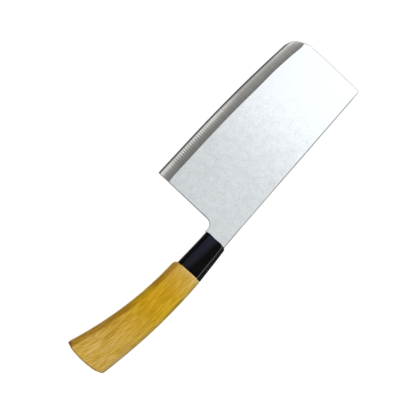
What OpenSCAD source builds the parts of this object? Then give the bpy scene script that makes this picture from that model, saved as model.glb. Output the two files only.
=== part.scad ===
// Chinese cleaver: broad one-piece steel blade on a hidden stick tang,
// black moulded ferrule, curved wooden grip and the bedding that holds the tang.
// The knife lies flat. +X runs from butt to blade front along the spine,
// +Y from spine to cutting edge, +Z out of the upper blade face.

/* [Blade] */
// Length from the ferrule to the foremost point of the blade
blade_l = 182.6; // [150:0.1:220]
// Height from the spine to the cutting edge at the heel
blade_h = 79.9; // [68:0.1:100]
// Thickness along the spine
spine_t = 2.4; // [1.8:0.1:3.2]
// Thickness where the ground bevel starts
bevel_t = 1.7; // [1.2:0.1:1.8]
// Thickness left at the cutting edge
edge_t = 0.3; // [0.1:0.05:0.6]
// Width of the ground bevel
bevel_w = 10.9; // [6:0.1:16]
// Straight length of the cutting edge, measured from the ferrule
edge_flat_l = 48; // [30:1:80]
// Radius of the cutting edge in front of its straight length
edge_r = 1440; // [1100:10:2400]
// Radius of the rounded front corner
front_corner_r = 19; // [8:0.5:24]
// Lean of the front end, forwards towards the cutting edge, in degrees
front_lean = 1.8; // [0:0.1:3]
// Distance from the ferrule to the heel, measured at the neck
heel_x = 8.9; // [7:0.1:14]
// Lean of the heel, forwards towards the cutting edge, in degrees
heel_lean = 1.6; // [0:0.1:3]
// Height of the neck between the ferrule and the heel
neck_h = 20.3; // [17:0.1:24]
// Radius of the hollow corner between neck and heel
neck_r = 6; // [3:0.5:6.5]

/* [Tang] */
// Length of the stick tang behind the front of the ferrule
tang_l = 84; // [65:1:86]
// Width of the stick tang
tang_w = 9; // [7:0.1:9.4]
// Radius of the notches that key the tang into its bedding
notch_r = 1.4; // [0.8:0.1:2]
// Distance from one pair of notches to the next
notch_pitch = 14; // [10:1:20]
// Number of pairs of notches
notch_pairs = 4; // [1:1:4]

/* [Ferrule] */
// Length of the ferrule
ferrule_l = 33; // [25:0.5:40]
// Width of the ferrule at the blade
ferrule_front_w = 19.9; // [18:0.1:21]
// Width of the ferrule at the grip
ferrule_back_w = 22.6; // [21:0.1:23.4]
// Thickness of the ferrule at the blade
ferrule_front_t = 17.2; // [16.5:0.1:19]
// Thickness of the ferrule at the grip
ferrule_back_t = 20.2; // [19:0.1:21.5]
// How far the ferrule's front stands below the line of the spine
ferrule_drop = 0.7; // [0.1:0.1:1.1]
// Chamfer along the ferrule's four long edges
ferrule_chamfer = 3.2; // [2:0.1:4.5]
// Softened edge round the front face of the ferrule
ferrule_nose = 0.9; // [0.4:0.1:1.5]
// Thickness of the ferrule's front wall
ferrule_wall = 3; // [2:0.1:5]

/* [Grip] */
// Length from the front of the ferrule to the end of the butt
handle_l = 134.5; // [120:0.1:150]
// Thickness of the wooden grip
grip_t = 22; // [21:0.1:26]
// Chamfer along the grip's four long edges
grip_chamfer = 4.4; // [2:0.1:6]
// Softened edge round both ends of the grip
grip_end_chamfer = 1; // [0.5:0.1:2]
// How far the grip stands below the line of the spine
grip_drop = 2.5; // [2.2:0.1:4]
// Height of the grip's edge side above the spine where its curve starts
grip_shoulder_h = 23.1; // [22.4:0.1:26]
// Radius of the convex side of the grip, in line with the spine
spine_side_r = 460; // [360:1:560]
// Where that convex side starts to curve, behind the front of the ferrule
spine_curve_x = 35.5; // [33:0.5:42]
// Radius of the hollow side of the grip, under the fingers
finger_side_r = 288; // [250:1:340]
// Where the hollow side starts to curve, behind the front of the ferrule
finger_curve_x = 27.6; // [20:0.1:32]
// Radius of the domed end of the butt
butt_r = 69; // [50:1:120]
// Height of the dome's crown above the spine
butt_crown_y = 24.5; // [20:0.5:28]
// Corner radius at the butt on the finger side
butt_finger_r = 1.6; // [1:0.1:6]
// Corner radius at the butt on the spine side
butt_spine_r = 3.2; // [2:0.1:7]
// Corner radius at the front of the grip on the finger side
shoulder_r = 3; // [1:0.1:4]
// Diameter of the grip's round nose inside the ferrule
nose_d = 15.2; // [13:0.1:15.6]
// Diameter of the blind hole for the tang
hole_d = 10; // [9.8:0.1:11]
// Depth of wood left between the end of the tang and the end of its hole
hole_spare = 3; // [1:0.5:5]

/* [Fits] */
// Clearance round the tang in the slot of the ferrule
slot_gap = 0.1; // [0.05:0.05:0.3]
// Clearance round the grip's nose in the ferrule
nose_gap = 0.1; // [0.05:0.05:0.3]
// Clearance between the end of the nose and the ferrule's front wall
nose_end_gap = 0.5; // [0.2:0.1:1]

/* [Hidden] */
$fn = 96;
// Facets of the long arcs, whose radii are many times the knife's own size
fine = 1440;
// Overlap used where one shape is cut from or joined to another
over = 1;
// Reach of cutting shapes beyond the piece that they cut
reach = 60;
// Reach of the waste outside a rounded corner, in radii of that corner
corner_reach = 4;

// Axis of the ferrule, the grip's nose and the tang
axis_y = ferrule_front_w / 2 - ferrule_drop;

// Centre of the cutting edge's arc, and a place on the front corner's circle
edge_centre = [edge_flat_l, blade_h - edge_r];
corner_x = blade_l - front_corner_r;
corner_y = edge_centre.y + sqrt(pow(edge_r - front_corner_r, 2) - pow(corner_x - edge_centre.x, 2));
corner = [corner_x, corner_y];
corner_front = corner + front_corner_r * [cos(front_lean), -sin(front_lean)];
corner_edge = corner + front_corner_r * unit(corner - edge_centre);
spine_front_x = corner_front.x - corner_front.y * tan(front_lean);

// Centre of the hollow corner at the heel, and its two tangent points
neck_corner_y = neck_h + neck_r;
neck_corner = [heel_at(neck_corner_y) - neck_r / cos(heel_lean), neck_corner_y];
neck_on_heel = neck_corner + neck_r * [cos(heel_lean), -sin(heel_lean)];

// Centres of the arcs that bound the grip
spine_side_centre = [-spine_curve_x, spine_side_r - grip_drop];
finger_side_centre = [-finger_curve_x, grip_shoulder_h + finger_side_r];
butt_centre = [butt_r - handle_l, butt_crown_y];

// Centres of the grip's rounded corners
butt_finger = meet(butt_centre, butt_r - butt_finger_r,
                   finger_side_centre, finger_side_r + butt_finger_r, -1);
butt_spine = meet(butt_centre, butt_r - butt_spine_r,
                  spine_side_centre, spine_side_r - butt_spine_r, 1);
shoulder_x = -ferrule_l - shoulder_r;
shoulder_y = finger_side_centre.y
    - sqrt(pow(finger_side_r + shoulder_r, 2) - pow(shoulder_x - finger_side_centre.x, 2));
shoulder = [shoulder_x, shoulder_y];

// Length of the round nose and of the tang's hole
nose_l = ferrule_l - ferrule_wall - nose_end_gap;
hole_end_x = -tang_l - hole_spare;

// The origin is below the middle of the knife, on the plane that it rests on
origin_shift = [(handle_l - blade_l) / 2, (grip_drop - blade_h) / 2, grip_t / 2];

function unit(v) = v / norm(v);
function heel_at(y) = heel_x + (y - neck_h) * tan(heel_lean);

// Where two circles meet: centres a and b, radii ra and rb, on the left (1) or right (-1) of a to b
function meet(a, ra, b, rb, side) =
    let (d = norm(b - a),
         u = (b - a) / d,
         along = (ra * ra - rb * rb + d * d) / (2 * d),
         across = sqrt(ra * ra - along * along))
    a + along * u + side * across * [-u.y, u.x];

// Outline of the blade and its neck, seen from above
module blade_outline() {
    difference() {
        intersection() {
            polygon([
                [0, 0], [spine_front_x, 0],
                [spine_front_x + blade_h * tan(front_lean), blade_h],
                [heel_at(blade_h), blade_h], [heel_x, neck_h], [0, neck_h]
            ]);
            union() {
                translate([-over, -over]) square([edge_flat_l + over, blade_h + 2 * over]);
                translate(edge_centre) circle(edge_r, $fn = fine);
            }
        }
        difference() {
            polygon([corner, corner_front, corner_front + [reach, reach], corner_edge]);
            translate(corner) circle(front_corner_r);
        }
    }
    difference() {
        polygon([neck_corner, neck_on_heel, [heel_x + over, neck_h - over], [neck_corner.x, neck_h]]);
        translate(neck_corner) circle(neck_r);
    }
}

// Half section of the waste above the ground bevel, measured from the cutting edge
module bevel_waste() {
    slope = (bevel_t - edge_t) / 2 / bevel_w;
    polygon([
        [-bevel_w - over, bevel_t / 2 + slope * over],
        [over, edge_t / 2 - slope * over],
        [over, spine_t], [-bevel_w - over, spine_t]
    ]);
}

// Stick tang with its notches, one thickness throughout
module tang() {
    difference() {
        translate([-tang_l, axis_y - tang_w / 2, -spine_t / 2])
            cube([tang_l + over, tang_w, spine_t]);
        for (i = [0 : notch_pairs - 1], side = [-1, 1])
            translate([-tang_l + notch_pitch * (i + 0.5), axis_y + side * tang_w / 2, 0])
                cylinder(r = notch_r, h = spine_t + 2 * over, center = true);
    }
}

// Taper from the spine to the start of the bevel, as a section drawn across the blade
module blade_taper() {
    taper = (spine_t - bevel_t) / 2 / (blade_h - bevel_w);
    half_far = spine_t / 2 - taper * (blade_h + over);
    rotate([90, 0, 90])
        linear_extrude(blade_l + over)
            polygon([
                [-over, -spine_t / 2], [0, -spine_t / 2], [blade_h + over, -half_far],
                [blade_h + over, half_far], [0, spine_t / 2], [-over, spine_t / 2]
            ]);
}

module blade() {
    color("silver") place() {
        difference() {
            intersection() {
                translate([0, 0, -spine_t]) linear_extrude(2 * spine_t) blade_outline();
                blade_taper();
            }
            for (side = [0, 1]) mirror([0, 0, side]) {
                translate([0, blade_h, 0])
                    rotate([90, 0, 90])
                        linear_extrude(edge_flat_l) bevel_waste();
                translate([edge_centre.x, edge_centre.y, 0])
                    intersection() {
                        rotate_extrude($fn = fine) translate([edge_r, 0]) bevel_waste();
                        translate([0, edge_r - reach, 0]) cube([blade_l, 2 * reach, reach]);
                    }
            }
        }
        tang();
    }
}

// One ring of the ferrule's eight corners, at x, for a given width, thickness and chamfer
function ferrule_ring(x, w, t, c) = [
    for (p = [[1, -1, 0, 1], [1, 1, 0, -1], [1, 1, -1, 0], [-1, 1, 1, 0],
              [-1, 1, 0, -1], [-1, -1, 0, 1], [-1, -1, 1, 0], [1, -1, -1, 0]])
        [x, axis_y + p[0] * w / 2 + p[2] * c, p[1] * t / 2 + p[3] * c]
];

module ferrule_body() {
    rings = [
        ferrule_ring(0, ferrule_front_w - 2 * ferrule_nose,
                     ferrule_front_t - 2 * ferrule_nose, ferrule_chamfer - ferrule_nose / 2),
        ferrule_ring(-ferrule_nose, ferrule_front_w, ferrule_front_t, ferrule_chamfer),
        ferrule_ring(-ferrule_l, ferrule_back_w, ferrule_back_t, ferrule_chamfer)
    ];
    sides = 8;
    polyhedron(
        points = [for (ring = rings, p = ring) p],
        faces = concat(
            [[for (i = [0 : sides - 1]) i]],
            [[for (i = [sides - 1 : -1 : 0]) 2 * sides + i]],
            [for (k = [0, 1], i = [0 : sides - 1])
                [k * sides + i, (k + 1) * sides + i,
                 (k + 1) * sides + (i + 1) % sides, k * sides + (i + 1) % sides]]
        )
    );
}

module ferrule() {
    color([0.08, 0.08, 0.1]) place()
        difference() {
            ferrule_body();
            along_x(-ferrule_l - over)
                cylinder(d = nose_d + 2 * nose_gap, h = ferrule_l + over - ferrule_wall);
            translate([-ferrule_l, axis_y - tang_w / 2 - slot_gap, -spine_t / 2 - slot_gap])
                cube([ferrule_l + over, tang_w + 2 * slot_gap, spine_t + 2 * slot_gap]);
        }
}

// Flat disc whose rim is chamfered on both faces
module chamfered_disc(r, c) {
    rotate_extrude($fn = fine)
        polygon([
            [0, -grip_t / 2], [r - c, -grip_t / 2], [r, c - grip_t / 2],
            [r, grip_t / 2 - c], [r - c, grip_t / 2], [0, grip_t / 2]
        ]);
}

// Flat ring whose inner rim is chamfered on both faces
module chamfered_ring(r, c) {
    rotate_extrude($fn = fine)
        polygon([
            [r, c - grip_t / 2], [r + c, -grip_t / 2], [r + 2 * reach, -grip_t / 2],
            [r + 2 * reach, grip_t / 2], [r + c, grip_t / 2], [r, grip_t / 2 - c]
        ]);
}

// Waste outside a rounded corner of the grip: the circle's centre and its two tangent directions
module corner_waste(centre, r, a, b) {
    translate([0, 0, -grip_t])
        linear_extrude(2 * grip_t)
            difference() {
                polygon([centre, centre + r * a, centre + corner_reach * r * (a + b), centre + r * b]);
                translate(centre) circle(r);
            }
}

module grip_block() {
    difference() {
        intersection() {
            translate(spine_side_centre) chamfered_disc(spine_side_r, grip_chamfer);
            translate(finger_side_centre) chamfered_ring(finger_side_r, grip_chamfer);
            translate(butt_centre) chamfered_disc(butt_r, grip_end_chamfer);
            rotate([90, 0, 0])
                linear_extrude(2 * handle_l, center = true)
                    polygon([
                        [-handle_l - over, -grip_t / 2], [-ferrule_l - grip_end_chamfer, -grip_t / 2],
                        [-ferrule_l, grip_end_chamfer - grip_t / 2],
                        [-ferrule_l, grip_t / 2 - grip_end_chamfer],
                        [-ferrule_l - grip_end_chamfer, grip_t / 2], [-handle_l - over, grip_t / 2]
                    ]);
        }
        corner_waste(butt_finger, butt_finger_r,
                     unit(butt_finger - butt_centre), unit(finger_side_centre - butt_finger));
        corner_waste(butt_spine, butt_spine_r,
                     unit(butt_spine - butt_centre), unit(butt_spine - spine_side_centre));
        corner_waste(shoulder, shoulder_r, [1, 0], unit(finger_side_centre - shoulder));
    }
}

module grip() {
    color("goldenrod") place()
        difference() {
            union() {
                grip_block();
                along_x(-ferrule_l - over) cylinder(d = nose_d, h = nose_l + over);
            }
            along_x(hole_end_x) cylinder(d = hole_d, h = -hole_end_x);
        }
}

// Adhesive that fills the hole round the tang, behind the ferrule's front wall
module tang_bedding() {
    color("darkkhaki") place()
        difference() {
            along_x(hole_end_x) cylinder(d = hole_d, h = -hole_end_x - ferrule_wall - nose_end_gap);
            tang();
        }
}

// Turns a cylinder to lie on the tang's axis, starting at x
module along_x(x) {
    translate([x, axis_y, 0]) rotate([0, 90, 0]) children();
}

module place() {
    translate(origin_shift) children();
}

blade();
ferrule();
grip();
tang_bedding();
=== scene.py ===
from math import atan2, cos, exp, hypot, pi, radians, sin, sqrt, tan

import bmesh
import bpy
from mathutils import Matrix, Vector
from mathutils.geometry import delaunay_2d_cdt


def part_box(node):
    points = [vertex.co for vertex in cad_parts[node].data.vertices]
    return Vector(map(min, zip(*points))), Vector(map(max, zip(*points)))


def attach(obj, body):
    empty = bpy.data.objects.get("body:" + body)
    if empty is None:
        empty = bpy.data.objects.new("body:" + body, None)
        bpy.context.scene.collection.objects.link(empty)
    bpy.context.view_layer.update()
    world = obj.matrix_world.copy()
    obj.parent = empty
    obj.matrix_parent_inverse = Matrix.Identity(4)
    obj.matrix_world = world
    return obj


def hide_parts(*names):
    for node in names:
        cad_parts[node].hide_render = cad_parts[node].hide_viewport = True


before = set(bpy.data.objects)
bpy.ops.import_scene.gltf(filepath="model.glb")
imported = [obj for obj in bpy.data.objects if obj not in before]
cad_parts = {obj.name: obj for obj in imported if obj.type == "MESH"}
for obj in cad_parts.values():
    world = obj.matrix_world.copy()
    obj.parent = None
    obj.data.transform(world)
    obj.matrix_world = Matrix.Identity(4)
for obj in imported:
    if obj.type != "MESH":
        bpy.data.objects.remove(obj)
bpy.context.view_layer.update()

# The frame is in metres. The shapes below are in millimetres from the neck point, where the
# spine meets the ferrule on the blade's middle plane, with X to the blade's front and Y to its edge.
MM = 0.001
blade_low, blade_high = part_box("blade")
ferrule_low, ferrule_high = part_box("ferrule")
grip_low, grip_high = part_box("grip")
neck_point = Vector((ferrule_high.x, blade_low.y, (blade_low.z + blade_high.z) / 2))

# Blade: sizes in millimetres, and shares from 0 to 1
blade_l = (blade_high.x - neck_point.x) / MM
blade_h = (blade_high.y - blade_low.y) / MM
spine_t = (blade_high.z - blade_low.z) / MM
bevel_t = 1.7
edge_t = 0.3
edge_flat_l = 48
edge_r = 1440
bevel_w = 10.9
front_corner_r = 19
front_lean = radians(1.8)
heel_x = 8.9
heel_lean = radians(1.6)
neck_h = 20.3
neck_r = 6
tang_l = (neck_point.x - blade_low.x) / MM
tang_w = 9
notch_r = 1.4
notch_pitch = 14
notch_pairs = 4
hollow = 0.5
honed_share = 0.055
honed_t = 0.08
bevel_rows = [honed_share, 0.13, 0.24, 0.385, 0.57, 0.77, 1]
front_bow = 0.4
spine_dip = 0.12
spine_dip_l = 14
spine_corner_r = 1.9
heel_corner_r = 0.6

# The blade's eased rim is wider along the spine and the front, by these shares of its radius
rim_r = 0.8
rim_share_of_t = 0.7
spine_rim = 0.4
spine_rim_from = 8
spine_rim_reach = 1
front_rim = 0.9
front_rim_from = 3
front_rim_blend = 2
heel_rim_w = 0.5

# Ferrule: sizes in millimetres, and shares from 0 to 1
ferrule_l = (ferrule_high.x - ferrule_low.x) / MM
ferrule_back_w = (ferrule_high.y - ferrule_low.y) / MM
ferrule_back_t = (ferrule_high.z - ferrule_low.z) / MM
ferrule_front_w = 19.9
ferrule_front_t = 17.2
ferrule_chamfer = 3.2
ferrule_wall = 3
ferrule_edge_r = 0.35
ferrule_back_r = 0.3
ferrule_flats = (0.06, 0.5, 0.94)
spine_nose_r = 2.6
finger_nose_share = 0.35
soft_nose = 0.9
crisp_nose = 0.35
crisp_from = 5
spine_bulge = 0.25
spine_bulge_share = 0.35
finger_bulge = 0.2
finger_bulge_l = 5
axis_y = ((ferrule_low.y + ferrule_high.y) / 2 - blade_low.y) / MM
nose_leads = [(0.42, axis_y + 8.2, 2.5), (0.21, axis_y - 4.2, 3)]
nose_d = 15.2
nose_gap = 0.1
slot_gap = 0.1
hole_d = 10
hole_l = 87
nose_end_gap = 0.5
shell_depths = (1.2, 1.6, 2.0)

# Grip: sizes in millimetres, and shares from 0 to 1
handle_l = (neck_point.x - grip_low.x) / MM
grip_t = (grip_high.z - grip_low.z) / MM
grip_chamfer = 4.4
grip_drop = 2.49
grip_shoulder_h = 23.1
spine_side_r = 460
spine_side_x = 35.5
finger_side_r = 288
finger_side_x = 27.6
grip_flats = (0.04, 0.15, 0.35, 0.5, 0.65, 0.85, 0.96)
butt_round_r = 0.9
front_round_r = 2.5
butt_r = 69
butt_crown_y = 24.5
butt_bow_l = 30
butt_finger_r = 0.9
butt_spine_r = 1.8
butt_depths = [1.2, 1.6, 2.1, 2.7, 3.4, 4.2, 5.0, 6.5, 9, 13, 18, 24, butt_bow_l]
butt_shares = [0.02, 0.3, 0.6, 0.85, 0.97]
shoulder_finger_r = 3
shoulder_spine_r = 0.9
shoulder_depths = [3, 2.4, 1.8, 1.3, 0.9, 0.6, 0.35, 0.15, 0.05, 0]
end_r = 0.9
middle_end = 4
dark_corner_reach = 2.4
butt_face_shade_share = 0.3
end_full_rings = 4
end_fade_rings = 3

# Divisions of the meshes, passes of the searches, and the angles from which edges stay sharp
spine_steps = 12
spine_corner_steps = 5
front_steps = 12
front_corner_steps = 16
edge_steps = 40
straight_edge_steps = 8
heel_corner_steps = 4
heel_steps = 6
neck_steps = 14
notch_steps = 8
bevel_stations = 48
rim_steps = 4
section_corner_steps = 5
nose_steps = 5
back_steps = 3
shell_rings = 8
end_steps = 5
middle_rings = 24
bow_passes = 6
halvings = 40
crease_angle = radians(30)
grip_crease = radians(32)


# Making meshes

def add_mesh(name, points, faces, looks, slots=None):
    """A new object from points in millimetres from the neck point."""
    mesh = bpy.data.meshes.new(name)
    mesh.from_pydata([neck_point + Vector(p) * MM for p in points], [], faces)
    for look in looks:
        mesh.materials.append(look)
    if slots:
        mesh.polygons.foreach_set("material_index", slots)
    made = bpy.data.objects.new(name, mesh)
    bpy.context.scene.collection.objects.link(made)
    return made


def smooth_but(made, crease, also=None):
    """Smooth shading, with edges sharper than the crease angle kept, and those that also() picks."""
    work = bmesh.new()
    work.from_mesh(made.data)
    bmesh.ops.recalc_face_normals(work, faces=work.faces)
    for face in work.faces:
        face.smooth = True
    for edge in work.edges:
        if len(edge.link_faces) == 2:
            edge.smooth = edge.calc_face_angle(0) < crease and not (also and also(edge))
    work.to_mesh(made.data)
    work.free()
    return made


def paint(made, name, values):
    """A number for each point of a mesh, for its material to read."""
    made.data.attributes.new(name, "FLOAT", "POINT").data.foreach_set("value", values)


def loft(name, rings, look, closed=False, crease=crease_angle):
    """Skins rings of equally many points, capped at both ends or closed from the last to the first."""
    count = len(rings[0])
    faces = []
    spans = len(rings) if closed else len(rings) - 1
    for k in range(spans):
        a, b = k * count, (k + 1) % len(rings) * count
        for i in range(count):
            j = (i + 1) % count
            faces.append((a + i, a + j, b + j, b + i))
    if not closed:
        faces.append(tuple(range(count)))
        faces.append(tuple(range((len(rings) - 1) * count, len(rings) * count)))
    made = add_mesh(name, [p for ring in rings for p in ring], faces, [look])
    return smooth_but(made, crease)


def arc(centre, radius, start, end, steps):
    """Points on a circle from one angle to another, both ends included."""
    return [(centre[0] + radius * cos(start + (end - start) * k / steps),
             centre[1] + radius * sin(start + (end - start) * k / steps)) for k in range(steps + 1)]


def steps_between(start, end, count):
    return [start + (end - start) * k / count for k in range(count + 1)]


def unit(x, y):
    size = hypot(x, y)
    return x / size, y / size


def fillet(before, corner, after, radius, steps):
    """Points of an arc that rounds a corner."""
    ux, uy = unit(before[0] - corner[0], before[1] - corner[1])
    vx, vy = unit(after[0] - corner[0], after[1] - corner[1])
    half = sqrt(max(1e-9, (1 - (ux * vx + uy * vy)) / 2))
    reach = radius * sqrt(1 - half * half) / half
    bx, by = unit(ux + vx, uy + vy)
    centre = corner[0] + bx * radius / half, corner[1] + by * radius / half
    start = atan2(corner[1] + uy * reach - centre[1], corner[0] + ux * reach - centre[0])
    end = atan2(corner[1] + vy * reach - centre[1], corner[0] + vx * reach - centre[0])
    turn = (end - start + pi) % (2 * pi) - pi
    return arc(centre, radius, start, start + turn, steps)


def eight_sided(low, high, half, chamfer, radius, flat_steps):
    """A section with four chamfered, rounded corners, as (y, z), in the same order for every ring."""
    c = min(chamfer, (high - low) / 2 - radius, half - radius)
    corners = [(low + c, -half), (high - c, -half), (high, c - half), (high, half - c),
               (high - c, half), (low + c, half), (low, half - c), (low, c - half)]
    points = []
    for k, corner in enumerate(corners):
        rounded = fillet(corners[k - 1], corner, corners[(k + 1) % 8], radius, section_corner_steps)
        points += rounded
        if k % 2 == 0:
            following = fillet(corner, corners[(k + 1) % 8], corners[(k + 2) % 8], radius,
                               section_corner_steps)
            a, b = rounded[-1], following[0]
            for s in flat_steps:
                points.append((a[0] + (b[0] - a[0]) * s, a[1] + (b[1] - a[1]) * s))
    return points


def across(y, z, low, high, half, chamfer):
    """Place round a section: 0 to 0.5 over its flat, to 0.75 down its chamfer, then 1 at mid side."""
    middle = (low + high) / 2
    side = 1 if y > middle else -1
    flat = (high - low) / 2 - chamfer
    out = abs(y - middle)
    if out < flat:
        place = 0.5 * out / flat
    else:
        place = 0.5 + 0.25 * min(1, (out - flat) / chamfer)
        place += 0.25 * max(0, 1 - abs(z) / (half - chamfer))
    return 0.5 + side * min(1, place) / 2


def places_round(rings, chamfer):
    """The place round its section of every point of some rings."""
    places = []
    for ring in rings:
        low, high = min(p[1] for p in ring), max(p[1] for p in ring)
        half = max(p[2] for p in ring)
        places += [across(y, z, low, high, half, chamfer) for _, y, z in ring]
    return places


# Blade

def heel_at(y):
    """X of the leaning heel."""
    return heel_x + (y - neck_h) * tan(heel_lean)


edge_centre = (edge_flat_l, blade_h - edge_r)
corner_x = blade_l - front_corner_r
corner_y = edge_centre[1] + sqrt((edge_r - front_corner_r) ** 2 - (corner_x - edge_centre[0]) ** 2)
corner_end = atan2(corner_y - edge_centre[1], corner_x - edge_centre[0])
spine_front_x = (corner_x + front_corner_r * cos(front_lean)
                 - (corner_y - front_corner_r * sin(front_lean)) * tan(front_lean))

# Each swell is its height, its middle and its reach: the bevel's in shares of its width along X,
# and the front corner's in millimetres round its circle
bevel_swells = [(0.055, heel_x, 5), (0.055, blade_l - 7, 8), (-0.2, blade_l + 1, 4),
                (-0.035, blade_l - 40, 14), (0.018, blade_l - 58, 20)]
corner_swells = [(-0.5, radians(31), radians(13)), (0.4, radians(56), radians(6))]

# Spots on the blade's rim, each its x, its y and its reach: a painted highlight at the front corner,
# painted shade at the heel's corner with the edge, and a painted highlight at the neck
rim_highlight_spot = (blade_l, corner_y + 6, 7)
rim_shade_spot = (heel_at(blade_h), blade_h - 1, 4.5)
neck_highlight_spot = (neck_r / 2, neck_h, neck_r)


def held(value):
    """The value, held between 0 and 1."""
    return min(1, max(0, value))


def swell(x, middle, reach):
    """A smooth hump: 1 at its middle, next to nothing beyond twice its reach."""
    return exp(-((x - middle) / reach) ** 2)


def swells_at(x, swells):
    return sum(height * swell(x, middle, reach) for height, middle, reach in swells)


def bevel_at(x):
    """Width of the hand-ground bevel, which swells near its ends and narrows round the corner."""
    return bevel_w * (1 + swells_at(x, bevel_swells))


def from_edge(x, y):
    """Distance inwards from the cutting edge, taken as if the front corner weren't rounded."""
    if x <= edge_flat_l:
        return blade_h - y
    return edge_r - hypot(x - edge_centre[0], y - edge_centre[1])


def inwards(x, y):
    """Distance inwards from the cutting edge and from the front corner that it runs round."""
    if atan2(y - corner_y, x - corner_x) > corner_end:
        return from_edge(x, y)
    return front_corner_r - hypot(max(0, x - corner_x), max(0, y - corner_y))


def edge_y(x, depth):
    """Y of the cutting edge, or of the line at a depth inwards from it."""
    if x <= edge_flat_l:
        return blade_h - depth
    return edge_centre[1] + sqrt((edge_r - depth) ** 2 - (x - edge_centre[0]) ** 2)


def taper(y):
    """Half the blade's thickness above the bevel, which thins from spine to bevel."""
    return spine_t / 2 - (spine_t - bevel_t) / 2 * max(0, y) / (blade_h - bevel_w)


def ground_share(x, y):
    """Place across the bevel: 0 at the cutting edge, 1 where the bevel starts."""
    return from_edge(x, y) / bevel_at(x)


def half_t(x, y):
    """Half the blade's thickness: a taper, then the hollow-ground bevel and its honed edge."""
    share = ground_share(x, y)
    if x < heel_x or share >= 1:
        return taper(y)
    if share < honed_share:
        return honed_t / 2 + (edge_t - honed_t) / 2 * max(0, share) / honed_share
    s = (share - honed_share) / (1 - honed_share)
    shoulder = taper(edge_y(x, bevel_at(x)))
    return edge_t / 2 + (shoulder - edge_t / 2) * ((1 - hollow) * s + hollow * s * s)


def on_front_corner(angle):
    """A place on the front corner, which is flatter towards the front and fuller towards the edge."""
    r = front_corner_r + swells_at(angle, corner_swells)
    return corner_x + r * cos(angle), corner_y + r * sin(angle)


def on_corner(share):
    """The angle on the front corner's circle at a place across the bevel."""
    low, high = 0, corner_end
    for _ in range(halvings):
        middle = (low + high) / 2
        x, y = on_front_corner(middle)
        if ground_share(x, y) > share:
            low = middle
        else:
            high = middle
    return high


def on_front(x):
    """1 along the blade's front, and 0 on most of the blade."""
    return held((x - spine_front_x + front_rim_from) / front_rim_blend)


def on_spine(x, y):
    """1 along the blade's spine, and 0 at the neck point and off the spine."""
    return held(x / spine_rim_from) if y < spine_rim_reach else 0


def on_heel(x, y):
    """1 along the heel, and less round its corner with the edge."""
    return held(1 - (x - heel_at(y)) / heel_corner_r)


def rim_width(rim, x, y):
    """Width of the rounded rim at a place, from its radius there."""
    wider = max(front_rim * on_front(x), spine_rim * on_spine(x, y))
    return max(rim * (1 + wider), heel_rim_w * on_heel(x, y))


def spine_and_front():
    """Along the spine from the neck point, round its front corner and along the bowed front."""
    points = [(x, spine_dip * min(1, x / spine_dip_l))
              for x in steps_between(0, spine_front_x - 2 * spine_corner_r, spine_steps)]
    end_x = corner_x + front_corner_r * cos(front_lean)
    end_y = corner_y - front_corner_r * sin(front_lean)
    points += fillet((0, spine_dip), (spine_front_x, spine_dip), (end_x, end_y), spine_corner_r,
                     spine_corner_steps)
    low_x, low_y = points[-1]
    for share in steps_between(0, 1, front_steps)[1:-1]:
        points.append((low_x + (end_x - low_x) * share + front_bow * sin(pi * share),
                       low_y + (end_y - low_y) * share))
    return points


def edge_and_heel_corner(start_x):
    """Along the cutting edge from the front corner, and round its corner with the heel."""
    points = [(x, edge_y(x, 0)) for x in steps_between(start_x, edge_flat_l, edge_steps)[1:]]
    heel_corner = heel_at(blade_h), blade_h
    straight_end = heel_corner[0] + 2 * heel_corner_r
    for x in steps_between(edge_flat_l, straight_end, straight_edge_steps)[1:]:
        points.append((x, blade_h))
    return points + fillet((edge_flat_l, blade_h), heel_corner, (heel_x, neck_h), heel_corner_r,
                           heel_corner_steps)


def heel_and_neck():
    """Along the heel above the bevel, and round into the neck."""
    arc_y = neck_h + neck_r
    bevel_y = blade_h - bevel_at(heel_x)
    points = [(heel_at(y), y) for y in steps_between(bevel_y, arc_y, heel_steps)[1:-1]]
    centre = heel_at(arc_y) - neck_r / cos(heel_lean), arc_y
    points += arc(centre, neck_r, -heel_lean, -pi / 2, neck_steps)
    return points + [(0, neck_h)]


def round_tang():
    """Round the hidden tang, with its notches, from the neck's finger side to its spine side."""
    points = [(0, axis_y + tang_w / 2)]
    for side in (1, -1):
        for k in range(notch_pairs):
            i = notch_pairs - 1 - k if side > 0 else k
            centre = (-tang_l + notch_pitch * (i + 0.5), axis_y + side * tang_w / 2)
            start, end = (0, -pi) if side > 0 else (pi, 0)
            points += arc(centre, notch_r, start, end, notch_steps)
        if side > 0:
            points.append((-tang_l, axis_y + tang_w / 2))
            points.append((-tang_l, axis_y - tang_w / 2))
    return points + [(0, axis_y - tang_w / 2)]


def blade_outline():
    """The outline, anticlockwise from the neck point, and where each bevel row meets it."""
    points = spine_and_front()
    rows = {}
    turns = [(angle, None) for angle in steps_between(-front_lean, corner_end, front_corner_steps)]
    turns = sorted(turns + [(on_corner(share), share) for share in bevel_rows])
    for angle, share in turns:
        if share is not None:
            rows[share] = [len(points)]
        points.append(on_front_corner(angle))
    points += edge_and_heel_corner(points[-1][0])
    for share in bevel_rows:
        rows[share].append(len(points))
        y = blade_h - share * bevel_at(heel_x)
        points.append((heel_at(y), y))
    return points + heel_and_neck() + round_tang(), rows


def inset(points, amounts):
    """The outline moved inwards, by an amount for each point."""
    moved = []
    for k, (x, y) in enumerate(points):
        ax, ay = unit(x - points[k - 1][0], y - points[k - 1][1])
        bx, by = unit(points[(k + 1) % len(points)][0] - x, points[(k + 1) % len(points)][1] - y)
        mx, my = ay + by, -ax - bx
        scale = 2 / max(0.5, mx * mx + my * my)
        moved.append((x - mx * scale * amounts[k], y - my * scale * amounts[k]))
    return moved


def near(x, y, spot):
    """1 at a spot on the blade, and less away from it."""
    return swell(hypot(x - spot[0], y - spot[1]), 0, spot[2])


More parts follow.
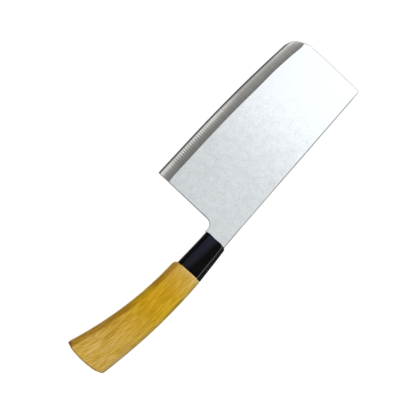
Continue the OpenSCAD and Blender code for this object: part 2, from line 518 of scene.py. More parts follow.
def is_ground(corners):
    """Whether a triangle of the blade's face lies on the bevel."""
    x = sum(p.x for p in corners) / 3
    y = sum(p.y for p in corners) / 3
    return x > heel_x and ground_share(x, y) < 1


def bevel_lines(flat, rows):
    """Adds the points of the bevel's rows to the flat ones, and gives the lines that join them."""
    lines = []
    for share, (front, heel) in rows.items():
        chain = [heel]
        for x in steps_between(flat[heel][0], flat[front][0], bevel_stations)[1:-1]:
            chain.append(len(flat))
            flat.append((x, edge_y(x, share * bevel_at(x))))
        chain.append(front)
        lines += list(zip(chain[:-1], chain[1:]))
    return lines


def rim_rings(inner, outline, heights, rims):
    """Rings over the rounded rim, from the upper face to the lower."""
    angles = [pi / 2 * k / rim_steps for k in range(1, rim_steps + 1)]
    rings = []
    for angle, side in [(a, 1) for a in angles] + [(a, -1) for a in reversed(angles)]:
        ring = []
        for (ax, ay), (bx, by), height, rim in zip(inner, outline, heights, rims):
            x = ax + (bx - ax) * sin(angle)
            y = ay + (by - ay) * sin(angle)
            ring.append((x, y, side * (height - rim * (1 - cos(angle)))))
        rings.append(ring)
    return rings


def make_blade(face_look, bevel_look, rim_look):
    outline, rows = blade_outline()
    count = len(outline)
    heights = [half_t(x, y) for x, y in outline]
    rims = [min(rim_r, rim_share_of_t * h) for h in heights]
    inner = inset(outline, [rim_width(rim, x, y) for rim, (x, y) in zip(rims, outline)])
    flat = list(inner)
    lines = [(k, (k + 1) % count) for k in range(count)] + bevel_lines(flat, rows)
    # Type 1 gives the triangles inside the outline
    spots, _, triangles, origins, _, _ = delaunay_2d_cdt([Vector(p) for p in flat], lines, [], 1, 1e-5)
    if [o[0] for o in origins[:count]] != list(range(count)):
        raise RuntimeError("the outline's points moved")
    top = [(p.x, p.y, half_t(p.x, p.y)) for p in spots]
    points = top + [(x, y, -z) for x, y, z in top]
    below = len(top)
    faces = [tuple(t) for t in triangles] + [tuple(below + i for i in reversed(t)) for t in triangles]
    slots = [int(is_ground([spots[k] for k in t])) for t in triangles] * 2
    starts = [0]
    for ring in rim_rings(inner, outline, heights, rims):
        starts.append(len(points))
        points += ring
    starts.append(below)
    for a, b in zip(starts[:-1], starts[1:]):
        for i in range(count):
            j = (i + 1) % count
            faces.append((a + i, a + j, b + j, b + i))
            slots.append(2)
    made = add_mesh("blade_steel", points, faces, [face_look, bevel_look, rim_look], slots)
    paint(made, "ground", [held(ground_share(x, y)) for x, y, _ in points])
    paint(made, "inwards", [held(inwards(x, y) / bevel_w) for x, y, _ in points])
    # Painted highlights and shade on the rim: at the front corner, the heel's corner and the neck
    paint(made, "corners", [0.5 + (near(x, y, rim_highlight_spot) - near(x, y, rim_shade_spot)) / 2
                            for x, y, _ in points])
    paint(made, "neck", [near(x, y, neck_highlight_spot) for x, y, _ in points])

    def between_looks(edge):
        return edge.link_faces[0].material_index != edge.link_faces[1].material_index

    return smooth_but(made, crease_angle, between_looks)


# Ferrule

def round_in(depth, radius):
    """How far a rounded corner stands back at a depth behind the end."""
    if depth >= radius:
        return 0
    return radius - sqrt(radius ** 2 - (radius - depth) ** 2)


def ferrule_ring(x, shrink=0.0):
    """A ring of the ferrule's outside, drawn in by a shrink at its rounded ends."""
    share = max(0, -x) / ferrule_l
    w = ferrule_front_w + (ferrule_back_w - ferrule_front_w) * share
    t = ferrule_front_t + (ferrule_back_t - ferrule_front_t) * share
    low = axis_y - w / 2 + shrink + round_in(-x, spine_nose_r)
    low -= spine_bulge * min(1, share / spine_bulge_share)
    high = axis_y + w / 2 - shrink * finger_nose_share + finger_bulge * swell(x, 0, finger_bulge_l)
    section = eight_sided(low, high, t / 2 - shrink, ferrule_chamfer - shrink / 2, ferrule_edge_r,
                          ferrule_flats)
    return [(x, y, z) for y, z in section]


def nose_ring(angle):
    """A ring round the front's rounding, crisper and further forward on the finger side."""
    depth, shrink = 1 - cos(angle), 1 - sin(angle)
    soft = ferrule_ring(-soft_nose * depth, soft_nose * shrink)
    crisp = ferrule_ring(-crisp_nose * depth, crisp_nose * shrink)
    ring = []
    for a, b in zip(soft, crisp):
        share = held((a[1] - axis_y) / crisp_from)
        x, y, z = (p + (q - p) * share for p, q in zip(a, b))
        ring.append((x + swells_at(a[1], nose_leads), y, z))
    return ring


def back_ring(angle):
    """A ring round the back's rounding."""
    return ferrule_ring(-ferrule_l + ferrule_back_r * (1 - sin(angle)),
                        ferrule_back_r * (1 - cos(angle)))


def round_ring(x, d, model):
    """A round ring whose points lie in line with those of another ring."""
    ring = []
    for _, y, z in model:
        uy, uz = unit(y - axis_y, z)
        ring.append((x, axis_y + uy * d / 2, uz * d / 2))
    return ring


def slot_ring(x, model):
    """A ring round the slot for the tang, whose points lie in line with those of another ring."""
    half_w, half_s = tang_w / 2 + slot_gap, spine_t / 2 + slot_gap
    ring = []
    for _, y, z in model:
        uy, uz = unit(y - axis_y, z)
        scale = min(half_w / max(abs(uy), 1e-6), half_s / max(abs(uz), 1e-6))
        ring.append((x, axis_y + uy * scale, uz * scale))
    return ring


def make_ferrule(look):
    rings = [nose_ring(pi / 2 * k / nose_steps) for k in range(nose_steps + 1)]
    rings += [ferrule_ring(-depth) for depth in shell_depths]
    middle = steps_between(-spine_nose_r, -ferrule_l + ferrule_back_r, shell_rings)
    rings += [ferrule_ring(x) for x in middle]
    rings += [back_ring(pi / 2 * k / back_steps) for k in range(1, back_steps + 1)]
    outer = len(rings)
    model = rings[-1]
    rings.append(round_ring(-ferrule_l, nose_d + 2 * nose_gap, model))
    rings.append(round_ring(-ferrule_wall, nose_d + 2 * nose_gap, model))
    rings.append(slot_ring(-ferrule_wall, model))
    rings.append(slot_ring(0, model))
    made = loft("ferrule_shell", rings, look, closed=True)
    places = places_round(rings[:outer], ferrule_chamfer)
    paint(made, "across", places + [0.0] * (len(rings) - outer) * len(model))
    return made


# Grip

def spine_side(x):
    """Y of the grip's spine side, which is a long arc."""
    return spine_side_r - grip_drop - sqrt(spine_side_r ** 2 - (x + spine_side_x) ** 2)


def finger_side(x):
    """Y of the grip's finger side, which is a tighter arc."""
    return grip_shoulder_h + finger_side_r - sqrt(finger_side_r ** 2 - (x + finger_side_x) ** 2)


def grip_ring(depth, from_butt):
    """A ring at a depth in from the butt or from the front end of the grip.

    Its low and high ends lie on the bowed face and on the curved sides, which a few passes settle.
    """
    flat_x = -handle_l + depth if from_butt else -ferrule_l - depth
    bow = max(0, 1 - depth / butt_bow_l) / (2 * butt_r) if from_butt else 0
    spine_r = butt_spine_r if from_butt else shoulder_spine_r
    finger_r = butt_finger_r if from_butt else shoulder_finger_r

    def bowed(y):
        return flat_x + bow * (y - butt_crown_y) ** 2

    low, high = spine_side(flat_x), finger_side(flat_x)
    for _ in range(bow_passes):
        low = spine_side(bowed(low)) + round_in(depth, spine_r)
        high = finger_side(bowed(high)) - round_in(depth, finger_r)
    half = grip_t / 2 - round_in(depth, end_r)
    along = held((flat_x + handle_l) / (handle_l - ferrule_l))
    round_r = butt_round_r + (front_round_r - butt_round_r) * along ** 2
    section = eight_sided(low, high, half, grip_chamfer, round_r, grip_flats)
    return [(bowed(y), y, z) for y, z in section]


def butt_face_rings(rim):
    """Rings of the butt's domed end face, which grow from its middle towards its rim."""
    middle_y = sum(p[1] for p in rim) / len(rim)
    rings = []
    for share in butt_shares:
        ring = []
        for _, y, z in rim:
            shrunk_y = middle_y + (y - middle_y) * share
            ring.append((-handle_l + (shrunk_y - butt_crown_y) ** 2 / (2 * butt_r), shrunk_y, z * share))
        rings.append(ring)
    return rings


def butt_rim_shade(k):
    """How much painted shade the grip's ring k has: all on the butt's rim, none further on."""
    caps = len(butt_shares)
    if k < caps - 1:
        return butt_face_shade_share
    return held(1 - (k - caps - end_full_rings) / end_fade_rings)


def make_grip(look):
    wood_l = handle_l - ferrule_l
    outer = [grip_ring(end_r * (1 - cos(pi / 2 * k / end_steps)), True) for k in range(end_steps + 1)]
    outer += [grip_ring(depth, True) for depth in butt_depths]
    depths = steps_between(wood_l - butt_bow_l, middle_end, middle_rings)
    outer += [grip_ring(wood_l - depth, True) for depth in depths[1:]]
    outer += [grip_ring(depth, False) for depth in shoulder_depths]
    caps = butt_face_rings(outer[0])
    model = outer[-1]
    nose_end = -(ferrule_wall + nose_end_gap)
    inner = [round_ring(-ferrule_l, nose_d, model), round_ring(nose_end, nose_d, model),
             round_ring(nose_end, hole_d, model), round_ring(-hole_l, hole_d, model)]
    rings = caps + outer + inner
    made = loft("grip_wood", rings, look, crease=grip_crease)
    cap_places = [0.5] * len(caps) * len(model)
    inner_places = [0.5] * len(inner) * len(model)
    paint(made, "across", cap_places + places_round(outer, grip_chamfer) + inner_places)
    points = [p for ring in rings for p in ring]
    paint(made, "grain_y", [y - (spine_side(x) + finger_side(x)) / 2 for x, y, _ in points])
    # Painted shade round the butt's rounded rim, and a little over its face
    paint(made, "end", [butt_rim_shade(k) for k in range(len(rings)) for _ in model])
    # A darker patch round the butt's finger-side corner
    dark_corner_x, dark_corner_y, _ = max(outer[0], key=lambda p: p[1])
    face_z = grip_t / 2 - grip_chamfer
    away = [hypot(x - dark_corner_x, y - dark_corner_y, max(0, face_z - abs(z))) for x, y, z in points]
    paint(made, "dark_corner", [swell(distance, 0, dark_corner_reach) for distance in away])
    return made


# Materials

def grey_stops(*stops):
    """Stops of a ramp, from pairs of a place and a grey."""
    return [(place, (grey, grey, grey)) for place, grey in stops]


# Steel, by the share of the way from neck to front, or by the place across the bevel; the tones of the
# bevel and of the rim are painted light and shade
steel_tone = (0.683, 0.719, 0.741)
steel_dim = (0.618, 0.65, 0.67)
steel_bright = (0.749, 0.788, 0.813)
steel_tints = [(0.3, (1.01, 1.0, 0.993)), (0.7, (0.99, 1.0, 1.007))]
mottle_fade = (0.62, 0.85)
# The rim's painted light along the blade, and its painted highlights and shade at the spots above
rim_painted_light = grey_stops((0.04, 0.9), (0.12, 1.12), (0.3, 1.1), (0.55, 0.85), (0.93, 0.9), (0.985, 1.55))
neck_painted_highlight = grey_stops((0.1, 1), (0.7, 1.9))
corner_rim_painted_light = [(0.1, (0.45, 0.45, 0.43)), (0.45, (1, 1, 1)), (0.55, (1, 1, 1)),
                    (0.9, (1.25, 1.25, 1.25))]
tooth_pitch = 2.3
teeth_along = grey_stops((0.06, 0.15), (0.11, 0.35), (0.14, 1), (0.3, 1), (0.35, 0.7), (0.44, 0.5),
                         (0.55, 0.2), (0.8, 0))
teeth_deep = grey_stops((0.1, 0), (0.2, 0.55), (0.3, 1), (0.4, 0.85), (0.5, 0.6), (0.6, 0.3), (0.8, 0.1))
# The bevel's tones across its width, at the heel and at the front: a painted dark line at the edge, a
# painted highlight behind it and painted shade further in
heel_bevel_painted_light = [(0.0, (0.152, 0.152, 0.147)), (0.085, (0.161, 0.161, 0.156)),
              (0.11, (0.223, 0.223, 0.214)), (0.147, (0.455, 0.455, 0.437)),
              (0.19, (0.804, 0.804, 0.768)), (0.22, (0.875, 0.875, 0.839)),
              (0.29, (0.875, 0.866, 0.821)), (0.367, (0.688, 0.679, 0.634)),
              (0.459, (0.478, 0.469, 0.437)), (0.55, (0.384, 0.375, 0.353)),
              (0.734, (0.299, 0.29, 0.277)), (1.0, (0.268, 0.259, 0.25))]
front_bevel_painted_light = [(0.1, (0.134, 0.134, 0.125)), (0.21, (0.509, 0.504, 0.491)),
               (0.3, (0.446, 0.437, 0.42)), (0.37, (0.388, 0.379, 0.357)),
               (0.46, (0.344, 0.335, 0.312)), (0.6, (0.339, 0.33, 0.308)),
               (0.75, (0.299, 0.29, 0.277)), (1.0, (0.246, 0.237, 0.228))]
front_bevel_painted_light_from = (0.42, 0.6)
# Painted highlights on the bevel near the heel and round the front corner
heel_painted_light = grey_stops((0.09, 1.12), (0.14, 1))
corner_painted_highlight_from = (0.79, 0.87)
corner_painted_highlight = grey_stops((0.02, 1), (0.08, 1.47), (0.11, 1.54), (0.147, 1.42), (0.183, 1.28),
                         (0.23, 1.16), (0.275, 1.09), (0.46, 1))

# Plastic, by the place round its section, or by the share of the way from back to front: a painted
# highlight line along the spine-side edge, and a painted bluish reflection over the finger half
plastic_black_and_painted_highlight = [(0.1, (0.002, 0.002, 0.003)), (0.234, (0.001, 0.001, 0.0015)),
                 (0.25, (0.17, 0.17, 0.175)), (0.266, (0.001, 0.001, 0.0015))]
painted_highlight_lean = 0.018
painted_sheen_lean = 0.13
painted_sheen_starts = grey_stops((0.4, 0), (0.44, 0.35), (0.52, 1))
painted_sheen_ends = grey_stops((0.6, 1), (0.73, 0.85), (0.77, 0))
painted_sheen_tones = [(0.0, (0.018, 0.018, 0.031)), (0.5, (0.016, 0.017, 0.03)), (1.0, (0.019, 0.021, 0.04))]

# Wood, by the share of the way from butt to ferrule, or by the place round its section, which carries
# painted shade on the chamfers and sides
wood_tones = [(0.05, (0.9, 0.58, 0.12)), (0.24, (0.88, 0.56, 0.105)), (0.45, (0.83, 0.5, 0.045)),
              (0.6, (0.86, 0.51, 0.013)), (0.79, (0.87, 0.51, 0.02)), (0.95, (0.92, 0.57, 0.1)),
              (0.99, (0.93, 0.64, 0.21))]
# Painted shade on the grip's chamfers and sides, and along its spine-side outline
wood_painted_side_shade = [(0.02, (0.65, 0.62, 0.6)), (0.125, (0.45, 0.5, 0.8)), (0.174, (0.68, 0.76, 1.1)),
              (0.21, (0.8, 0.82, 0.8)), (0.27, (1.0, 1.0, 1.0)), (0.745, (1.0, 0.97, 0.9)),
              (0.765, (0.7, 0.6, 0.3)), (0.82, (0.62, 0.52, 0.2)), (0.87, (0.58, 0.54, 0.3)),
              (1.0, (0.65, 0.62, 0.6))]
# Painted shade round the butt's rim
butt_rim_painted_shade = [(0.0, (1, 1, 1)), (1.0, (0.62, 0.6, 0.62))]
# Darker round the butt's finger-side corner
dark_corner_tones = [(0.1, (1, 1, 1)), (0.9, (0.3, 0.2, 0.12))]
broad_tones = [(0.3, (0.9, 0.86, 0.55)), (0.7, (1.1, 1.14, 1.45))]
fine_tones = [(0.3, (0.84, 0.79, 0.2)), (0.7, (1.16, 1.21, 1.8))]
wood_tints = [(0.3, (1.01, 0.99, 0.93)), (0.7, (0.99, 1.01, 1.07))]
pore_tones = [(0.3, (0.8, 0.74, 0.6)), (0.75, (0.97, 0.95, 0.92))]
pore_share = grey_stops((0.38, 0), (0.46, 1))

# Two streaks on the grip, a dark one on its spine-side chamfer and a pale one on its finger-side
# chamfer: where each lies across, where along, and its tone
dark_streak = (grey_stops((0.156, 0), (0.168, 1), (0.172, 1), (0.184, 0)),
               grey_stops((0.64, 0), (0.72, 1), (0.8, 1), (0.85, 0)), (0.45, 0.5, 0.8))
pale_streak = (grey_stops((0.745, 0), (0.775, 1), (0.86, 1), (0.92, 0)),
               grey_stops((0.48, 0), (0.6, 1), (0.68, 1), (0.76, 0)), (1.2, 1.4, 0.7))
resin_tones = [(0.3, (0.44, 0.39, 0.25)), (0.7, (0.55, 0.5, 0.35))]


def new_material(name, color, metallic, roughness):
    made = bpy.data.materials.new(name)
    made.use_nodes = True
    shader = made.node_tree.nodes["Principled BSDF"]
    shader.inputs["Base Color"].default_value = (*color, 1)
    shader.inputs["Metallic"].default_value = metallic
    shader.inputs["Roughness"].default_value = roughness
    return made, made.node_tree.nodes, made.node_tree.links, shader


def noise(nodes, links, vector, scale, detail, rough=0.5):
    """A noise between 0 and 1, with its scale along each axis, in waves a metre."""
    stretch = nodes.new("ShaderNodeMapping")
    stretch.inputs["Scale"].default_value = scale
    texture = nodes.new("ShaderNodeTexNoise")
    texture.inputs["Scale"].default_value = 1.0
    texture.inputs["Detail"].default_value = detail
    texture.inputs["Roughness"].default_value = rough
    links.new(vector, stretch.inputs["Vector"])
    links.new(stretch.outputs["Vector"], texture.inputs["Vector"])
    return texture.outputs["Fac"]


def ramp(nodes, links, source, stops):
    """A color for each value of the source, from stops of a place and a color."""
    made = nodes.new("ShaderNodeValToRGB")
    elements = made.color_ramp.elements
    while len(elements) < len(stops):
        elements.new(0.5)
    for element, (position, color) in zip(elements, stops):
        element.position = position
        element.color = (*color, 1)
    links.new(source, made.inputs["Fac"])
    return made.outputs["Color"]


def spread(nodes, links, source, low, high, from_low=0.0, from_high=1.0, clamp=True):
    """The source, carried from the range from_low to from_high over to the range low to high."""
    made = nodes.new("ShaderNodeMapRange")
    made.clamp = clamp
    made.inputs["From Min"].default_value = from_low
    made.inputs["From Max"].default_value = from_high
    made.inputs["To Min"].default_value = low
    made.inputs["To Max"].default_value = high
    links.new(source, made.inputs["Value"])
    return made.outputs["Result"]


def bumped(nodes, links, shader, source, distance):
    bump = nodes.new("ShaderNodeBump")
    bump.inputs["Distance"].default_value = distance
    links.new(source, bump.inputs["Height"])
    links.new(bump.outputs["Normal"], shader.inputs["Normal"])


def painted(nodes, name):
    """The number that paint() gave the mesh."""
    made = nodes.new("ShaderNodeAttribute")
    made.attribute_name = name
    return made.outputs["Fac"]


def times(nodes, links, a, b):
    made = nodes.new("ShaderNodeVectorMath")
    made.operation = "MULTIPLY"
    links.new(a, made.inputs[0])
    links.new(b, made.inputs[1])
    return made.outputs["Vector"]


def less(nodes, links, source, other, share):
    """The source less a share of the other."""
    made = nodes.new("ShaderNodeMath")
    made.operation = "MULTIPLY_ADD"
    made.inputs[1].default_value = -share
    links.new(other, made.inputs[0])
    links.new(source, made.inputs[2])
    return made.outputs["Value"]


def mixed(nodes, links, share, first, second):
    """The first tone where the share is 0, the second where it is 1. Either can be a plain color."""
    made = nodes.new("ShaderNodeMixRGB")
    links.new(share, made.inputs["Fac"])
    for tone, name in ((first, "Color1"), (second, "Color2")):
        if isinstance(tone, tuple):
            made.inputs[name].default_value = (*tone, 1)
        else:
            links.new(tone, made.inputs[name])
    return made.outputs["Color"]


def greys(low, high):
    """Stops for a noise, which seldom leaves the range from 0.3 to 0.7."""
    return grey_stops((0.3, low), (0.7, high))


def split_place(nodes, links, place):
    """The X, Y and Z of a place, in metres."""
    made = nodes.new("ShaderNodeSeparateXYZ")
    links.new(place.outputs["Object"], made.inputs["Vector"])
    return made.outputs["X"], made.outputs["Y"], made.outputs["Z"]


def along_blade(nodes, links, place):
    """The share of the way from the blade's neck to its front."""
    x, _, _ = split_place(nodes, links, place)
    return spread(nodes, links, x, 0.0, 1.0, neck_point.x, blade_high.x)


def steel_face():
    """Satin steel with a fine mottle, which fades out towards the blade's front."""
    made, nodes, links, shader = new_material("steel_satin", steel_tone, 1.0, 0.2)
    place = nodes.new("ShaderNodeTexCoord")
    cloud = noise(nodes, links, place.outputs["Object"], (160, 130, 160), 5.0, rough=0.8)
    brushed = noise(nodes, links, place.outputs["Object"], (900, 500, 900), 2.0)
    tint = noise(nodes, links, place.outputs["Object"], (310, 230, 310), 2.0)
    tone = ramp(nodes, links, cloud, [(0.3, steel_dim), (0.7, steel_bright)])
    tone = times(nodes, links, tone, ramp(nodes, links, brushed, greys(0.945, 1.055)))
    tone = times(nodes, links, tone, ramp(nodes, links, tint, steel_tints))
    faded = spread(nodes, links, along_blade(nodes, links, place), 0.0, 1.0, *mottle_fade)
    links.new(mixed(nodes, links, faded, tone, steel_tone), shader.inputs["Base Color"])
    links.new(spread(nodes, links, cloud, 0.17, 0.23), shader.inputs["Roughness"])
    bumped(nodes, links, shader, brushed, 0.01 * MM)
    return made


def steel_bevel_painted_light():
    """Ground steel with painted light: dark at the edge itself, a painted highlight just behind it,
    painted shade further in, with teeth of cross-grinding.
    """
    made, nodes, links, shader = new_material("steel_ground_painted_light", (0.4, 0.39, 0.37), 1.0, 0.26)
    place = nodes.new("ShaderNodeTexCoord")
    depth = painted(nodes, "ground")
    marks = noise(nodes, links, place.outputs["Object"], (900, 40, 40), 4.0)
    x = along_blade(nodes, links, place)
    # Painted reflection and shade across the bevel, with painted highlights near the heel and round the
    # front corner
    tone = mixed(nodes, links, spread(nodes, links, x, 0.0, 1.0, *front_bevel_painted_light_from),
                 ramp(nodes, links, depth, heel_bevel_painted_light), ramp(nodes, links, depth, front_bevel_painted_light))
    tone = times(nodes, links, tone, ramp(nodes, links, marks, greys(0.93, 1.07)))
    tone = times(nodes, links, tone, ramp(nodes, links, x, heel_painted_light))
    gain = ramp(nodes, links, painted(nodes, "inwards"), corner_painted_highlight)
    cornered = spread(nodes, links, x, 0.0, 1.0, *corner_painted_highlight_from)
    tone = times(nodes, links, tone, mixed(nodes, links, cornered, (1, 1, 1), gain))
    tone = times(nodes, links, tone, grinding_teeth(nodes, links, place, x, depth))
    links.new(tone, shader.inputs["Base Color"])
    links.new(spread(nodes, links, marks, 0.22, 0.3), shader.inputs["Roughness"])
    bumped(nodes, links, shader, marks, 0.02 * MM)
    return made


def grinding_teeth(nodes, links, place, x, depth):
    """Short bright and dark strokes near the edge, which fade out towards the blade's front."""
    wave = nodes.new("ShaderNodeTexWave")
    wave.wave_type = "BANDS"
    wave.bands_direction = "X"
    # A wave texture of scale 1 repeats every 2 * pi / 20
    wave.inputs["Scale"].default_value = 2 * pi / 20 / (tooth_pitch * MM)
    wave.inputs["Distortion"].default_value = 3.0
    wave.inputs["Detail Scale"].default_value = 200
    links.new(place.outputs["Object"], wave.inputs["Vector"])
    made = nodes.new("ShaderNodeMix")
    made.inputs["A"].default_value = 1.0
    links.new(times(nodes, links, ramp(nodes, links, depth, teeth_deep),
                    ramp(nodes, links, x, teeth_along)), made.inputs["Factor"])
    links.new(spread(nodes, links, wave.outputs["Fac"], 0.42, 1.32), made.inputs["B"])
    return made.outputs["Result"]


def steel_rim_painted_light():
    """The eased edge all round the blade, ground but not polished, with painted light: lighter and
    darker along the blade and lightest at its front, painted highlights at the front corner and the
    neck, and painted shade at the heel's corner.
    """
    made, nodes, links, shader = new_material("steel_rim_painted_light", (0.5, 0.5, 0.5), 1.0, 0.35)
    place = nodes.new("ShaderNodeTexCoord")
    marks = noise(nodes, links, place.outputs["Object"], (300, 300, 300), 2.0)
    tone = ramp(nodes, links, marks, greys(0.4, 0.48))
    # Painted light along the rim, and painted highlights and shade at its spots
    tone = times(nodes, links, tone, ramp(nodes, links, along_blade(nodes, links, place), rim_painted_light))
    tone = times(nodes, links, tone, ramp(nodes, links, painted(nodes, "corners"), corner_rim_painted_light))
    tone = times(nodes, links, tone, ramp(nodes, links, painted(nodes, "neck"), neck_painted_highlight))
    links.new(tone, shader.inputs["Base Color"])
    links.new(spread(nodes, links, marks, 0.3, 0.4), shader.inputs["Roughness"])
    return made


def black_plastic_painted_light():
    """Gloss black, with a painted highlight line along its spine-side edge and a painted bluish
    reflection over its finger half.
    """
    made, nodes, links, shader = new_material("plastic_black_painted_light", (0.004, 0.004, 0.006), 0.0, 0.25)
    shader.inputs["Specular IOR Level"].default_value = 0.06
    place = nodes.new("ShaderNodeTexCoord")
    haze = noise(nodes, links, place.outputs["Object"], (60, 140, 140), 3.0)
    x, _, _ = split_place(nodes, links, place)
    back = spread(nodes, links, x, 1.0, 0.0, ferrule_low.x, ferrule_high.x)
    around = painted(nodes, "across")
    # A painted bluish reflection over the finger half, and a painted highlight line along the spine-side
    # edge
    starts = ramp(nodes, links, less(nodes, links, around, back, painted_sheen_lean), painted_sheen_starts)
    painted_sheen_share = times(nodes, links, starts, ramp(nodes, links, around, painted_sheen_ends))
    black = ramp(nodes, links, less(nodes, links, around, back, painted_highlight_lean), plastic_black_and_painted_highlight)
    sheen = ramp(nodes, links, spread(nodes, links, back, 1.0, 0.0), painted_sheen_tones)
    tone = mixed(nodes, links, painted_sheen_share, black, sheen)
    links.new(times(nodes, links, tone, ramp(nodes, links, haze, greys(0.8, 1.2))),
              shader.inputs["Base Color"])
    links.new(spread(nodes, links, haze, 0.2, 0.3), shader.inputs["Roughness"])
    bumped(nodes, links, shader, haze, 0.04 * MM)
    return made


def grain_place(nodes, links, place):
    """A place in the wood, with its Y measured from the curved grip's middle line."""
    x, _, z = split_place(nodes, links, place)
    made = nodes.new("ShaderNodeCombineXYZ")
    links.new(x, made.inputs["X"])
    links.new(spread(nodes, links, painted(nodes, "grain_y"), -MM, MM, -1, 1, False), made.inputs["Y"])
    links.new(z, made.inputs["Z"])
    return made.outputs["Vector"]


def varnished_wood_painted_shade():
    """Straight-grained wood, deepest in colour in the middle, with painted shade along its chamfers and
    sides and round the butt's rim.
    """
    made, nodes, links, shader = new_material("wood_varnished_painted_shade", (0.78, 0.47, 0.02), 0.0, 0.4)
    shader.inputs["Specular IOR Level"].default_value = 0.12
    place = nodes.new("ShaderNodeTexCoord")
    x, _, _ = split_place(nodes, links, place)
    along = spread(nodes, links, x, 0.0, 1.0, grip_low.x, ferrule_low.x)
    grain = grain_place(nodes, links, place)
    broad = noise(nodes, links, grain, (50, 240, 240), 3.0, rough=0.65)
    fine = noise(nodes, links, grain, (105, 900, 900), 2.0, rough=0.6)
    tint = noise(nodes, links, grain, (80, 300, 300), 2.0)
    pores = noise(nodes, links, grain, (120, 1300, 1300), 1.0)
    tone = ramp(nodes, links, along, wood_tones)
    # Painted shade on the chamfers, sides and butt's rim, and a darker patch at the butt's corner
    for source, tones in ((painted(nodes, "across"), wood_painted_side_shade), (painted(nodes, "end"), butt_rim_painted_shade),
                          (painted(nodes, "dark_corner"), dark_corner_tones)):
        tone = times(nodes, links, tone, ramp(nodes, links, source, tones))
    tone = times(nodes, links, tone, streak(nodes, links, along, *dark_streak))
    tone = times(nodes, links, tone, streak(nodes, links, along, *pale_streak))
    for source, tones in ((broad, broad_tones), (fine, fine_tones), (tint, wood_tints)):
        tone = times(nodes, links, tone, ramp(nodes, links, source, tones))
    dashes = mixed(nodes, links, ramp(nodes, links, pores, pore_share),
                   ramp(nodes, links, along, pore_tones), (1, 1, 1))
    links.new(times(nodes, links, tone, dashes), shader.inputs["Base Color"])
    links.new(spread(nodes, links, fine, 0.34, 0.5), shader.inputs["Roughness"])
    bumped(nodes, links, shader, fine, 0.03 * MM)
    return made


def streak(nodes, links, along, across_stops, along_stops, color):
    """A tone for one place on the grip: white elsewhere."""
    share = times(nodes, links, ramp(nodes, links, painted(nodes, "across"), across_stops),
                  ramp(nodes, links, along, along_stops))
    return mixed(nodes, links, share, (1, 1, 1), color)


def cured_resin():
    made, nodes, links, shader = new_material("resin_cured", (0.5, 0.45, 0.3), 0.0, 0.5)
    place = nodes.new("ShaderNodeTexCoord")
    cloud = noise(nodes, links, place.outputs["Object"], (200, 200, 200), 2.0)
    links.new(ramp(nodes, links, cloud, resin_tones), shader.inputs["Base Color"])
    return made


def floor_look():
    """White, mostly by its own light, so that the knife's shadow is faint."""
    made, nodes, links, shader = new_material("floor_white", (0.12, 0.12, 0.12), 0.0, 0.9)
    shader.inputs["Specular IOR Level"].default_value = 0.0
    shader.inputs["Emission Color"].default_value = (1, 1, 1, 1)
    shader.inputs["Emission Strength"].default_value = 0.95
    return made


# The pieces

blade = make_blade(steel_face(), steel_bevel_painted_light(), steel_rim_painted_light())
ferrule = make_ferrule(black_plastic_painted_light())
grip = make_grip(varnished_wood_painted_shade())
for piece, node, slot in ((blade, "blade", "blade_steel"), (ferrule, "ferrule", "ferrule_plastic"),
                          (grip, "grip", "grip_wood")):
    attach(piece, "root")
    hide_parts(node)

# The hidden bedding keeps its own node and shape, and only gets its look
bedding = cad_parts["tang_bedding"].data
bedding.materials.clear()
bedding.materials.append(cured_resin())


# Camera, which looks at a point on the blade's middle plane, tilted off the vertical

camera_aim = neck_point + Vector((16.655, 40.218, 0)) * MM
camera_tilt = radians(10.851)
camera_heading = radians(2)
camera_distance = 448.824 * MM
camera_roll = radians(39.84)
camera_lens = 50
camera_sensor_w = 36


def add_camera():
    ahead = Vector((sin(camera_tilt) * cos(camera_heading), sin(camera_tilt) * sin(camera_heading),
                    -cos(camera_tilt)))
    level = Vector((cos(camera_heading), sin(camera_heading), 0))
    up_level = (level - ahead * level.dot(ahead)).normalized()
    right_level = ahead.cross(up_level)
    right = cos(camera_roll) * right_level + sin(camera_roll) * up_level
    up = cos(camera_roll) * up_level - sin(camera_roll) * right_level
    lens = bpy.data.cameras.new("camera")
    lens.lens = camera_lens
    lens.sensor_width = camera_sensor_w
    camera = bpy.data.objects.new("camera", lens)
    camera.matrix_world = (Matrix.Translation(camera_aim - camera_distance * ahead)
                           @ Matrix((right, up, -ahead)).transposed().to_4x4())
    bpy.context.scene.collection.objects.link(camera)
    bpy.context.scene.camera = camera


# Floor and light: the dome's brightness along X and its shade along Y, from -1 to 1

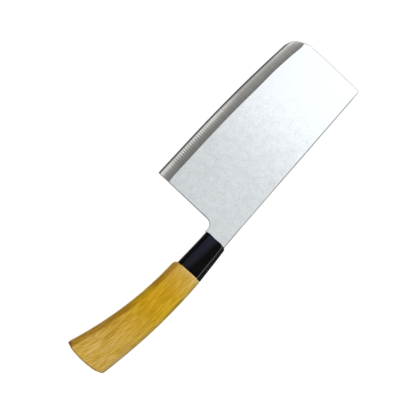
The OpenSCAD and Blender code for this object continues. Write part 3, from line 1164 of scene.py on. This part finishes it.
bright_along = [(-1, 0.5), (0, 0.62), (0.15, 0.84), (0.28, 0.86), (0.325, 0.92), (0.355, 1.15),
                (0.39, 1.36), (0.55, 1.36), (1, 1.6)]
bright_top = 1.6
shade_across = [(-1, 0), (0.09, 0), (0.15, 0.5), (0.2, 0.85), (0.3, 1), (1, 1)]
shade_level = 0.45
low_level = 0.6
high_level = 1.12
low_z = 0.3
high_z = 0.75
floor_half = 3.0


def add_floor():
    mesh = bpy.data.meshes.new("floor")
    corners = [(x * floor_half, y * floor_half, 0) for x, y in ((-1, -1), (1, -1), (1, 1), (-1, 1))]
    mesh.from_pydata(corners, [], [(0, 1, 2, 3)])
    mesh.materials.append(floor_look())
    floor = bpy.data.objects.new("floor", mesh)
    bpy.context.scene.collection.objects.link(floor)


def curved(nodes, links, source, top, points):
    """A curve from 0 to top, through points on an axis from -1 to 1."""
    made = nodes.new("ShaderNodeFloatCurve")
    curve = made.mapping.curves[0]
    curve.points[0].location = (0, points[0][1] / top)
    curve.points[1].location = (1, points[-1][1] / top)
    for at, value in points[1:-1]:
        curve.points.new((at + 1) / 2, value / top)
    made.mapping.update()
    links.new(spread(nodes, links, source, 0, 1, -1, 1), made.inputs["Value"])
    return spread(nodes, links, made.outputs["Value"], 0, top)


def studio_world():
    """A dome that brightens towards the blade's front and darkens beyond its cutting edge."""
    world = bpy.data.worlds.new("studio")
    world.use_nodes = True
    nodes, links = world.node_tree.nodes, world.node_tree.links
    back = nodes["Background"]
    back.inputs["Color"].default_value = (1, 1, 1, 1)
    place = nodes.new("ShaderNodeTexCoord")
    split = nodes.new("ShaderNodeSeparateXYZ")
    links.new(place.outputs["Generated"], split.inputs["Vector"])
    both = nodes.new("ShaderNodeMix")
    both.inputs["B"].default_value = shade_level
    links.new(curved(nodes, links, split.outputs["Y"], 1.0, shade_across), both.inputs["Factor"])
    links.new(curved(nodes, links, split.outputs["X"], bright_top, bright_along), both.inputs["A"])
    level = spread(nodes, links, split.outputs["Z"], low_level, high_level, low_z, high_z)
    dimmed = nodes.new("ShaderNodeMath")
    dimmed.operation = "MULTIPLY"
    links.new(both.outputs["Result"], dimmed.inputs[0])
    links.new(level, dimmed.inputs[1])
    links.new(dimmed.outputs["Value"], back.inputs["Strength"])
    bpy.context.scene.world = world


add_camera()
add_floor()
studio_world()
bpy.context.scene.view_settings.view_transform = "Standard"
